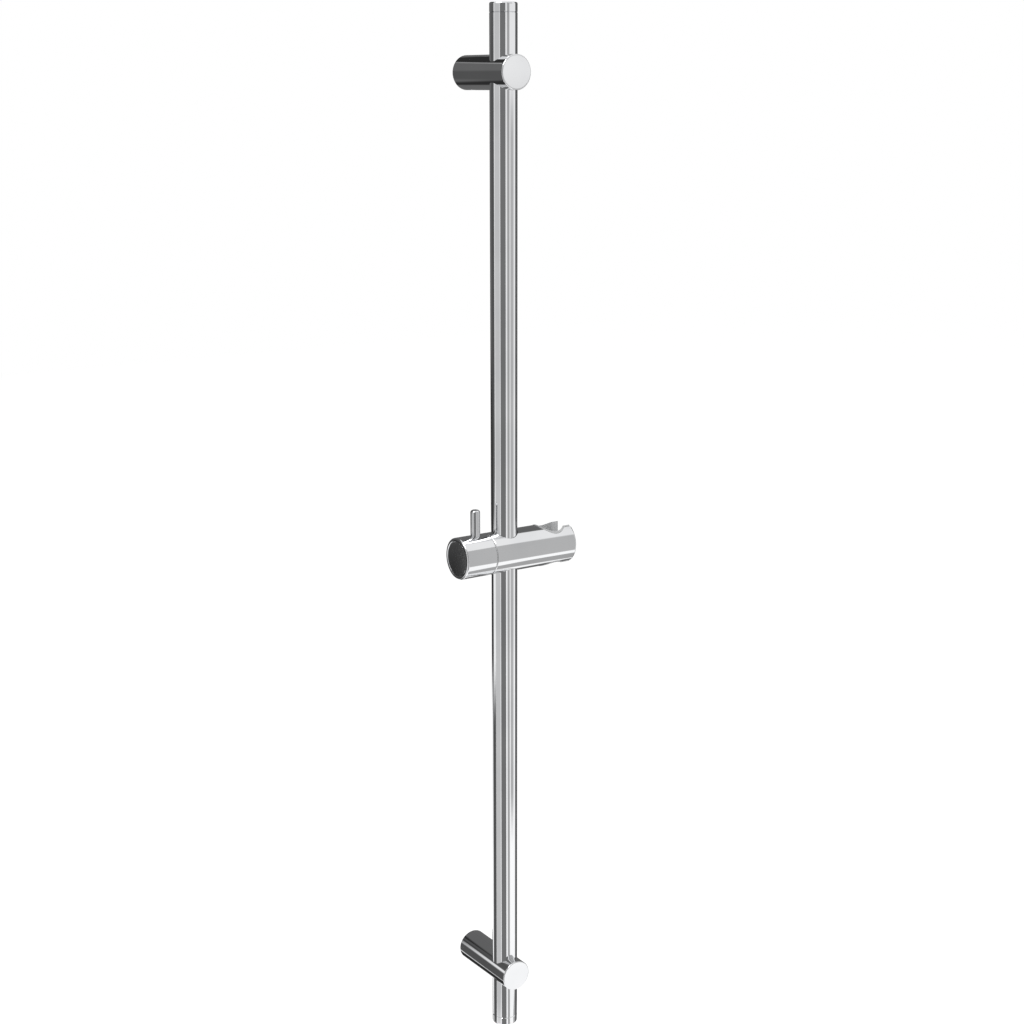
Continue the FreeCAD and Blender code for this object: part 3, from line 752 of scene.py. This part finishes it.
@dataclass
class Posts:
    """Posts between the wall and the rail, each with a socket for its boss and a bore for the rail."""

    front_round: float = 0.9 * MM
    foot: float = 0.4 * MM
    socket_fit: float = 0.05 * MM
    socket_room: float = 1.0 * MM
    rail_fit: float = 0.05 * MM
    screw_fit: float = 0.05 * MM
    edge: float = 0.2 * MM
    body: str = "rail"
    radius: float = field(init=False)
    place: Vector = field(init=False)

    def build(self) -> None:
        """Shape the upper post, copy it to the lower fixing, and dress both."""
        upper_low, upper_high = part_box("upper_bracket")
        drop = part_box("lower_bracket")[0] - upper_low
        self.radius = (upper_high.x - upper_low.x) / 2
        self.place = Vector((0.0, 0.0, (upper_low.z + upper_high.z) / 2))
        upper = self.shape(-upper_low.y)
        lower = copy_of(upper, "chrome_lower_bracket", Matrix.Translation(drop))
        dress(upper, self.body, Slot.POST, "upper_bracket")
        dress(lower, self.body, Slot.POST, "lower_bracket")
        true_round(upper, Stations.FRONT, self.place, self.radius)
        true_round(lower, Stations.FRONT, self.place + drop, self.radius)

    def shape(self, length: float) -> bpy.types.Object:
        """Turn the upper post, and bore it for the rail and the set screw.

        Args:
            length: Length of the post from the wall.

        Returns:
            The post.
        """
        boss_low, boss_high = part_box("upper_wall_boss")
        screw_low, screw_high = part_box("upper_rail_screw")
        rail_low, rail_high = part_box("rail_tube")
        socket = (boss_high.x - boss_low.x) / 2 + self.socket_fit
        depth = -boss_low.y + self.socket_room
        screw = (screw_high.x - screw_low.x) / 2 + self.screw_fit
        rail_reach = -(rail_low.y + rail_high.y) / 2
        profile = [
            Corner(screw, rail_reach),
            Corner(screw, depth),
            Corner(socket, depth),
            Corner(socket, 0.0),
            Corner(self.radius - self.foot, 0.0),
            Corner(self.radius, self.foot),
            Corner(self.radius, length, self.front_round),
            Corner(self.radius / 2, length),
        ]
        piece = Turned("chrome_upper_bracket", profile, Stations.FRONT, self.place).make()
        carve(piece, self.rail_bore())
        carve(piece, self.screw_hole(socket))
        soften(piece, self.edge)
        return piece

    def rail_bore(self) -> bpy.types.Object:
        """Tool for the bore that the rail runs through.

        Returns:
            The tool.
        """
        low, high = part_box("rail_tube")
        bore = (high.x - low.x) / 2 + self.rail_fit
        profile = [Corner(bore, -PAST * self.radius), Corner(bore, PAST * self.radius)]
        place = Vector((0.0, (low.y + high.y) / 2, self.place.z))
        return Turned("rail_bore", profile, Stations.UP, place).make()

    def screw_hole(self, socket: float) -> bpy.types.Object:
        """Tool for the set screw's hole on the underside.

        Args:
            socket: Radius of the boss's socket.

        Returns:
            The tool.
        """
        low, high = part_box("upper_boss_set_screw")
        hole = (high.x - low.x) / 2 + self.screw_fit
        profile = [Corner(hole, -PAST * self.radius), Corner(hole, -socket / 2)]
        place = Vector((0.0, (low.y + high.y) / 2, self.place.z))
        return Turned("screw_hole", profile, Stations.UP, place, segments=HOLE_SEGMENTS).make()


@dataclass
class Slider:
    """Round bar across the rail, with a tapered holder for the handset at its right end."""

    end_round: float = 1.2 * MM
    seam: float = 0.4 * MM
    lip_clearance: float = 0.4 * MM
    liner_play: float = 0.1 * MM
    spigot: float = 11.0 * MM
    spigot_chamfer: float = 0.6 * MM
    gland_bore: float = 6.5 * MM
    spindle_bore: float = 4.05 * MM
    bearing: float = 4.8 * MM
    shoe_bore: float = 6.0 * MM
    shoe_room: float = 0.575 * MM
    holder_place: float = 45.0 * MM
    holder_mouth: float = 12.0 * MM
    holder_foot: float = 10.75 * MM
    insert_wall: float = 1.4 * MM
    insert_fit: float = 0.1 * MM
    insert_proud: float = 0.3 * MM
    slot_half: float = 8.0 * MM
    slot_round: float = 1.5 * MM
    cone_past: float = 1.2
    edge: float = 0.25 * MM
    body: str = "slider"
    radius: float = field(init=False)
    reach: float = field(init=False)
    axis_y: float = field(init=False)
    axis: Vector = field(init=False)
    left: float = field(init=False)
    right: float = field(init=False)
    shoulder: float = field(init=False)

    def build(self) -> None:
        """Make the bar and the holder's insert."""
        low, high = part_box("slider_body")
        self.radius = (high.z - low.z) / 2
        self.reach = PAST * self.radius
        self.axis_y = (low.y + high.y) / 2
        self.axis = Vector((0.0, self.axis_y, 0.0))
        self.left = low.x
        self.right = high.x
        self.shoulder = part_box("thrust_washer")[1].x
        self.bar()
        self.insert()

    def cone(self, name: str, extra: float) -> bpy.types.Object:
        """Taper of the holder.

        Args:
            name: Name of the object.
            extra: Added to the radius.

        Returns:
            Closed cone that reaches past the bar.
        """
        reach = self.cone_past * self.radius
        middle = (self.holder_mouth + self.holder_foot) / 2 + extra
        spread = (self.holder_mouth - self.holder_foot) / 2 * reach / self.radius
        profile = [Corner(middle - spread, -reach), Corner(middle + spread, reach)]
        place = Vector((self.holder_place, self.axis_y, 0.0))
        return Turned(name, profile, Stations.UP, place).make()

    def channel(self, name: str, half: float, end: float) -> bpy.types.Object:
        """Straight way from the holder's axis to the right.

        Args:
            name: Name of the object.
            half: Half of its width.
            end: Place of its right end.

        Returns:
            Closed block that reaches past the bar.
        """
        return block(
            name,
            Vector((self.holder_place, self.axis_y - half, -self.reach)),
            Vector((end, self.axis_y + half, self.reach)),
        )

    def flare_tool(self, slot_half: float) -> bpy.types.Object:
        """Widening of the metal slot at the end face, with round corners.

        Args:
            slot_half: Half of the slot's width.

        Returns:
            The tool.
        """
        start = self.right - self.slot_round
        half = slot_half + self.slot_round
        tool = block(
            "flare_tool",
            Vector((start, self.axis_y - half, -self.reach)),
            Vector((self.right + self.slot_round, self.axis_y + half, self.reach)),
        )
        beyond = self.reach + self.radius
        profile = [Corner(self.slot_round, -beyond), Corner(self.slot_round, beyond)]
        for side in (-1, 1):
            place = Vector((start, self.axis_y + side * half, 0.0))
            carve(tool, Turned("corner", profile, Stations.UP, place, segments=HOLE_SEGMENTS).make())
        return tool

    def rail_tool(self) -> bpy.types.Object:
        """Bore for the rail, wider in the middle where the liner sits.

        Returns:
            The tool.
        """
        rail_low, rail_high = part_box("rail_tube")
        liner_low, liner_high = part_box("rail_liner")
        lip = (rail_high.x - rail_low.x) / 2 + self.lip_clearance
        recess = (liner_high.x - liner_low.x) / 2 + self.liner_play
        half = liner_high.z + self.liner_play
        profile = [
            Corner(lip, -self.reach),
            Corner(lip, -half),
            Corner(recess, -half),
            Corner(recess, half),
            Corner(lip, half),
            Corner(lip, self.reach),
        ]
        return Turned("rail_tool", profile, Stations.UP, self.axis).make()

    def bar(self) -> None:
        """Turn the bar with its spigot and clamp bores, then cut the rail bore, the holder and its slot."""
        shoe_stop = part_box("clamp_shoe")[0].x - self.shoe_room
        collar_seat = shoe_stop - self.bearing
        profile = [
            Corner(self.shoe_bore, 0.0),
            Corner(self.shoe_bore, shoe_stop),
            Corner(self.spindle_bore, shoe_stop),
            Corner(self.spindle_bore, collar_seat),
            Corner(self.gland_bore, collar_seat),
            Corner(self.gland_bore, self.left),
            Corner(self.spigot - self.spigot_chamfer, self.left),
            Corner(self.spigot, self.left + self.spigot_chamfer),
            Corner(self.spigot, self.shoulder),
            Corner(self.radius - self.seam, self.shoulder),
            Corner(self.radius, self.shoulder + self.seam),
            Corner(self.radius, self.right, self.end_round),
            Corner(self.radius / 2, self.right),
        ]
        piece = Turned("chrome_slider", profile, Stations.RIGHT, self.axis).make()
        carve(piece, self.rail_tool())
        back = self.insert_wall + self.insert_fit
        carve(piece, self.cone("holder_tool", back))
        carve(piece, self.channel("slot_tool", self.slot_half + back, self.right + self.slot_round))
        carve(piece, self.flare_tool(self.slot_half + back))
        soften(piece, self.edge)
        dress(piece, self.body, Slot.SLIDER, "slider_body")
        true_round(piece, Stations.RIGHT, self.axis, self.radius)

    def insert(self) -> None:
        """Tapered sleeve with lips that line the slot, and ends that follow the bar's round."""
        lip_end = self.right - self.slot_round
        piece = self.cone("holder_sleeve", self.insert_wall)
        carve(piece, self.channel("lips", self.slot_half + self.insert_wall, lip_end), Cut.WELD)
        carve(piece, self.cone("sleeve_bore", 0.0))
        carve(piece, self.channel("lip_gap", self.slot_half, self.right))
        trim = self.radius + self.insert_proud
        profile = [Corner(trim, 0.0), Corner(trim, self.right)]
        carve(piece, Turned("sleeve_trim", profile, Stations.RIGHT, self.axis).make(), Cut.TRIM)
        soften(piece, self.edge)
        dress(piece, self.body, Slot.INSERT, "holder_insert")


@dataclass
class Knob:
    """Locking knob at the slider's left end, with its cover and lever pin."""

    end_round: float = 1.2 * MM
    seam: float = 0.4 * MM
    cavity: float = 11.3 * MM
    web: float = 6.0 * MM
    web_gap: float = 0.6 * MM
    drive_half: float = 2.85 * MM
    head_bore: float = 12.5 * MM
    seat_fit: float = 0.05 * MM
    seat_depth: float = 2.8 * MM
    cover_chamfer: float = 0.3 * MM
    ring_wall: float = 1.5 * MM
    pin_round: float = 2.0 * MM
    pin_tip: float = 0.5 * MM
    pin_thread: float = 3.0 * MM
    pin_seat: float = 2.0 * MM
    pin_fit: float = 0.05 * MM
    edge: float = 0.15 * MM
    body: str = "knob"
    radius: float = field(init=False)
    axis: Vector = field(init=False)
    end: float = field(init=False)
    face: float = field(init=False)

    def build(self) -> None:
        """Make the knob, the cover and the pin."""
        low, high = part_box("locking_knob")
        self.radius = (high.z - low.z) / 2
        self.axis = Vector((0.0, (low.y + high.y) / 2, 0.0))
        self.end = low.x
        self.face = high.x
        self.cup()
        self.cover()
        self.pin()

    def cup(self) -> None:
        """Turned cup with a web that drives the spindle, a seat for the cover and a hole for the pin."""
        cover_low, cover_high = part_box("knob_cover")
        seat = (cover_high.z - cover_low.z) / 2 + self.seat_fit
        ledge = self.end + self.seat_depth
        web_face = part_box("slider_body")[0].x - self.web_gap
        web_back = web_face - self.web
        profile = [
            Corner(self.cavity / 2, web_back),
            Corner(self.head_bore, web_back),
            Corner(self.head_bore, ledge),
            Corner(seat, ledge),
            Corner(seat, self.end),
            Corner(self.radius, self.end, self.end_round),
            Corner(self.radius, self.face - self.seam),
            Corner(self.radius - self.seam, self.face),
            Corner(self.cavity, self.face),
            Corner(self.cavity, web_face),
            Corner(self.cavity / 2, web_face),
        ]
        piece = Turned("chrome_knob", profile, Stations.RIGHT, self.axis).make()
        square = Vector((self.web, self.drive_half, self.drive_half))
        middle = Vector(((web_face + web_back) / 2, self.axis.y, 0.0))
        carve(piece, block("drive_hole", middle - square, middle + square))
        carve(piece, self.pin_hole())
        soften(piece, self.edge)
        dress(piece, self.body, Slot.SLIDER, "locking_knob")
        true_round(piece, Stations.RIGHT, self.axis, self.radius)

    def pin_hole(self) -> bpy.types.Object:
        """Tool for the pin's seat and its thread.

        Returns:
            The tool.
        """
        low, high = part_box("lever_pin")
        floor = self.radius - self.pin_seat
        thread = self.pin_thread + self.pin_fit
        hole = (high.x - low.x) / 2 + self.pin_fit
        profile = [
            Corner(thread, 0.0),
            Corner(thread, floor),
            Corner(hole, floor),
            Corner(hole, PAST * self.radius),
        ]
        place = Vector(((low.x + high.x) / 2, self.axis.y, 0.0))
        return Turned("pin_hole", profile, Stations.UP, place, segments=HOLE_SEGMENTS).make()

    def cover(self) -> None:
        """Disc that closes the knob, a little below its rim, with a ring that snaps into it."""
        low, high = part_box("knob_cover")
        radius = (high.z - low.z) / 2
        ledge = self.end + self.seat_depth
        ring = self.head_bore - self.seat_fit
        inside = ring - self.ring_wall
        profile = [
            Corner(radius / 2, low.x),
            Corner(radius - self.cover_chamfer, low.x),
            Corner(radius, low.x + self.cover_chamfer),
            Corner(radius, ledge),
            Corner(ring, ledge),
            Corner(ring, high.x),
            Corner(inside, high.x),
            Corner(inside, ledge),
            Corner(inside / 2, ledge),
        ]
        piece = Turned("chrome_cover", profile, Stations.RIGHT, self.axis).make()
        dress(piece, self.body, Slot.SLIDER, "knob_cover")

    def pin(self) -> None:
        """Upright pin with a rounded top and a thinner end in the knob."""
        low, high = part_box("lever_pin")
        radius = (high.x - low.x) / 2
        seat = self.radius - self.pin_seat
        profile = [
            Corner(self.pin_thread, low.z),
            Corner(self.pin_thread, seat),
            Corner(radius, seat),
            Corner(radius, high.z, self.pin_round),
            Corner(self.pin_tip, high.z),
        ]
        place = Vector(((low.x + high.x) / 2, self.axis.y, 0.0))
        piece = Turned("chrome_pin", profile, Stations.UP, place, segments=PIN_SEGMENTS).make()
        dress(piece, self.body, Slot.LEVER, "lever_pin")


@dataclass
class Fittings:
    """Small parts of the frame that keep their own shape and get a finish."""

    slots: tuple[tuple[Slot, tuple[str, ...]], ...] = (
        (Slot.BRASS, ("upper_wall_boss", "lower_wall_boss", "spindle_gland", "clamp_shoe")),
        (Slot.STEEL, ("upper_boss_set_screw", "lower_boss_set_screw")),
        (Slot.STEEL, ("upper_rail_screw", "lower_rail_screw", "spindle", "knob_screw")),
        (Slot.INSERT, ("thrust_washer",)),
        (Slot.NYLON, ("upper_rail_pad", "lower_rail_pad", "rail_liner")),
        (Slot.RUBBER, ("upper_cap_seal", "lower_cap_seal")),
    )

    def build(self) -> None:
        """Put the finish of each slot on its nodes."""
        for slot, nodes in self.slots:
            for node in nodes:
                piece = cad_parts[node]
                piece.data.materials.clear()
                piece.data.materials.append(finish_of(slot))
                LOG.info("%s keeps its shape and gets %s", node, slot.value.name)


@dataclass(frozen=True)
class Screen:
    """Soft-edged studio screen that only reflections show."""

    name: str
    width: float
    length: float
    tone: float
    edge: float = field(default=0.1, kw_only=True)

    def hang(self, place: Vector, turn: Matrix) -> None:
        """Put the screen in its place.

        Args:
            place: Middle of the screen.
            turn: Turn of the screen from lying level.
        """
        bpy.ops.object.select_all(action="DESELECT")
        bpy.ops.mesh.primitive_plane_add(size=1.0)
        screen = bpy.context.object
        screen.name = self.name
        screen.scale = (self.width, self.length, 1.0)
        screen.rotation_euler = turn.to_euler()
        screen.location = place
        screen.visible_camera = False
        screen.visible_diffuse = False
        screen.visible_shadow = False
        screen.data.materials.append(self.cloth())

    def cloth(self) -> bpy.types.Material:
        """Even tone that fades out at the screen's edges.

        Returns:
            The material.
        """
        graph, material = Graph.of_material(self.name)
        place = graph.add("ShaderNodeTexCoord").outputs["UV"]
        apart = graph.add("ShaderNodeSeparateXYZ", None, {"Vector": place})
        mask: Value | float = 1.0
        for axis, side in (("X", self.width), ("Y", self.length)):
            along = Value(graph, apart.outputs[axis])
            fade = min(self.edge / side, WIDEST_FADE)
            mask = along.smooth(0.0, fade) * (1.0 - along.smooth(1.0 - fade, 1.0)) * mask
        glow = graph.add("ShaderNodeEmission", None, {"Color": grey(self.tone)})
        clear = graph.add("ShaderNodeBsdfTransparent")
        parts = {0: mask, 1: clear.outputs["BSDF"], 2: glow.outputs["Emission"]}
        mixed = graph.add("ShaderNodeMixShader", None, parts)
        graph.add("ShaderNodeOutputMaterial", None, {"Surface": mixed.outputs["Shader"]})
        return material


@dataclass(frozen=True)
class UprightScreen(Screen):
    """Screen that stands upright and faces the rail, at a bearing in degrees from the front."""

    bearing: float
    foot: float
    distance: float = field(default=0.7, kw_only=True)

    def build(self, middle: Vector) -> None:
        """Stand the screen up.

        Args:
            middle: Point on the rail's axis, at height 0.
        """
        bearing = math.radians(self.bearing)
        way = Vector((math.sin(bearing), -math.cos(bearing), 0.0))
        height = self.foot + self.length / 2
        turn = Matrix.Rotation(bearing, 3, "Z") @ Matrix.Rotation(math.pi / 2, 3, "X")
        self.hang(middle + way * self.distance + Vector((0.0, 0.0, height)), turn)


@dataclass(frozen=True)
class LevelScreen(Screen):
    """Screen that lies level a little above the floor, with a turn in degrees about the upright."""

    place: tuple[float, float, float]
    turn: float

    def build(self, middle: Vector) -> None:
        """Lay the screen down, at its place from a point on the rail's axis."""
        self.hang(middle + Vector(self.place), Matrix.Rotation(math.radians(self.turn), 3, "Z"))


@dataclass(frozen=True)
class Lamp:
    """Square soft lamp that shines at the middle of the rail."""

    name: str
    place: tuple[float, float, float]
    size: float
    power: float
    mirrored: bool

    def build(self, middle: Vector) -> None:
        """Hang the lamp.

        Args:
            middle: Point on the rail's axis, at height 0.
        """
        light = bpy.data.lights.new(self.name, "AREA")
        light.size = self.size
        light.energy = self.power
        holder = bpy.data.objects.new(self.name, light)
        holder.location = self.place
        holder.rotation_euler = (Vector(self.place) - middle).to_track_quat("Z", "Y").to_euler()
        holder.visible_glossy = self.mirrored
        bpy.context.scene.collection.objects.link(holder)


@dataclass
class Studio:
    """Plain white studio with the camera at the photograph's bearing and tilt, in degrees."""

    rail_y: float = -0.0535
    lens: float = 61.38
    lens_shift: tuple[float, float] = (-0.0016, 0.0509)
    bearing: float = -33.9
    tilt: float = 15.3
    distance: float = 1.41
    camera_height: float = 0.3743
    camera_aside: float = 0.0079
    floor_height: float = -0.95
    floor_size: float = 14.0
    floor_tone: float = 0.8
    floor_glow: float = 0.5
    sky_light: float = 0.62
    lamps: tuple[Lamp, ...] = (
        Lamp("key", (-1.35, -0.25, 2.05), size=1.2, power=26.0, mirrored=True),
        Lamp("fill", (1.6, -2.4, 0.9), size=1.6, power=14.0, mirrored=False),
    )
    screens: tuple[UprightScreen | LevelScreen, ...] = (
        UprightScreen(
            "upper_back_screen", width=0.5, length=0.7, tone=0.1, bearing=-140.0, foot=-0.2, distance=0.65
        ),
        UprightScreen(
            "middle_back_screen", width=0.55, length=0.5, tone=0.03,
            bearing=-160.0, foot=-0.4, distance=0.65,
        ),
        UprightScreen(
            "lower_back_screen", width=0.6, length=0.6, tone=0.1, bearing=-135.0, foot=-0.9, distance=0.65
        ),
        UprightScreen(
            "high_back_screen", width=1.7, length=1.0, tone=0.15, edge=0.05, bearing=-170.0, foot=-0.2
        ),
        UprightScreen(
            "top_back_screen", width=1.3, length=0.4, tone=0.03, edge=0.05, bearing=-160.0, foot=0.75
        ),
        UprightScreen("left_screen", width=0.7, length=1.65, tone=0.65, bearing=-90.0, foot=-0.9),
        UprightScreen(
            "camera_screen", width=0.6, length=1.9, tone=0.2, edge=0.03, bearing=-40.0, foot=-1.1
        ),
        UprightScreen("front_screen", width=0.35, length=2.2, tone=0.45, bearing=5.0, foot=-1.05),
        UprightScreen(
            "middle_screen", width=0.65, length=1.1, tone=0.55, bearing=40.0, foot=-0.7, distance=0.95
        ),
        UprightScreen("right_screen", width=0.4, length=2.15, tone=0.1, bearing=90.0, foot=-1.2),
        UprightScreen("far_right_screen", width=0.9, length=1.9, tone=0.15, bearing=125.0, foot=-0.9),
        UprightScreen(
            "high_screen", width=2.3, length=2.8, tone=0.55, edge=0.3, bearing=30.0, foot=0.75, distance=4.0
        ),
        LevelScreen(
            "front_floor_screen", width=0.8, length=0.55, tone=0.45, edge=0.05,
            place=(0.8, -0.1, -0.93), turn=45.0,
        ),
        LevelScreen(
            "back_floor_screen", width=1.25, length=0.45, tone=0.03, place=(-0.15, 0.6, -0.93), turn=40.0
        ),
    )
    middle: Vector = field(init=False)

    def build(self) -> None:
        """Set up the view, the world, the floor, the lamps, the screens and the camera."""
        bpy.context.scene.view_settings.view_transform = "Standard"
        self.middle = Vector((0.0, self.rail_y, 0.0))
        self.world()
        self.floor()
        for item in self.lamps + self.screens:
            item.build(self.middle)
        self.camera()

    def seen(self, graph: Graph) -> Value:
        """Test of the ray that looks at a surface.

        Args:
            graph: Nodes that the test is added to.

        Returns:
            1 for rays from the camera and for reflected and refracted rays, otherwise 0.
        """
        path = graph.add("ShaderNodeLightPath")
        total = Value(graph, path.outputs["Is Camera Ray"]) + Value(graph, path.outputs["Is Glossy Ray"])
        return (total + Value(graph, path.outputs["Is Transmission Ray"])).smooth(0.0, 1.0)

    def world(self) -> None:
        """White backdrop, with less light for matt surfaces."""
        world = bpy.data.worlds.new("studio")
        bpy.context.scene.world = world
        world.use_nodes = True
        graph = Graph(world.node_tree)
        strength = self.sky_light + (1.0 - self.sky_light) * self.seen(graph)
        sky = graph.add("ShaderNodeBackground", None, {"Color": WHITE, "Strength": strength})
        graph.add("ShaderNodeOutputWorld", None, {"Surface": sky.outputs["Background"]})

    def floor(self) -> None:
        """Pale floor that keeps the shadow and looks white."""
        bpy.ops.object.select_all(action="DESELECT")
        place = self.middle + Vector((0.0, 0.0, self.floor_height))
        bpy.ops.mesh.primitive_plane_add(size=self.floor_size, location=place)
        floor = bpy.context.object
        floor.name = "floor"
        graph, material = Graph.of_material("pale_floor")
        matt = graph.add("ShaderNodeBsdfDiffuse", None, {"Color": grey(self.floor_tone)})
        strength = self.floor_glow * self.seen(graph)
        glow = graph.add("ShaderNodeEmission", None, {"Color": WHITE, "Strength": strength})
        parts = {0: matt.outputs["BSDF"], 1: glow.outputs["Emission"]}
        both = graph.add("ShaderNodeAddShader", None, parts)
        graph.add("ShaderNodeOutputMaterial", None, {"Surface": both.outputs["Shader"]})
        floor.data.materials.append(material)

    def camera(self) -> None:
        """Camera at the photograph's place and angle."""
        turn = math.radians(self.bearing)
        forward = Vector((-math.sin(turn), math.cos(turn), 0.0))
        right = Vector((math.cos(turn), math.sin(turn), 0.0))
        aim = self.middle + Vector((0.0, 0.0, self.camera_height)) + right * self.camera_aside
        camera = bpy.data.cameras.new("camera")
        camera.lens = self.lens
        camera.shift_x, camera.shift_y = self.lens_shift
        holder = bpy.data.objects.new("camera", camera)
        holder.location = aim - forward * self.distance
        holder.rotation_euler = (math.radians(90.0 - self.tilt), 0.0, turn)
        bpy.context.scene.collection.objects.link(holder)
        bpy.context.scene.camera = holder


def main() -> None:
    """Build every sub-assembly, then the studio."""
    logging.basicConfig(level=logging.INFO, format="%(name)s: %(message)s")
    for assembly in (Rail(), Posts(), Slider(), Knob(), Fittings(), Studio()):
        assembly.build()
        LOG.info("%s is in place", type(assembly).__name__)


if __name__ == "__main__":
    main()
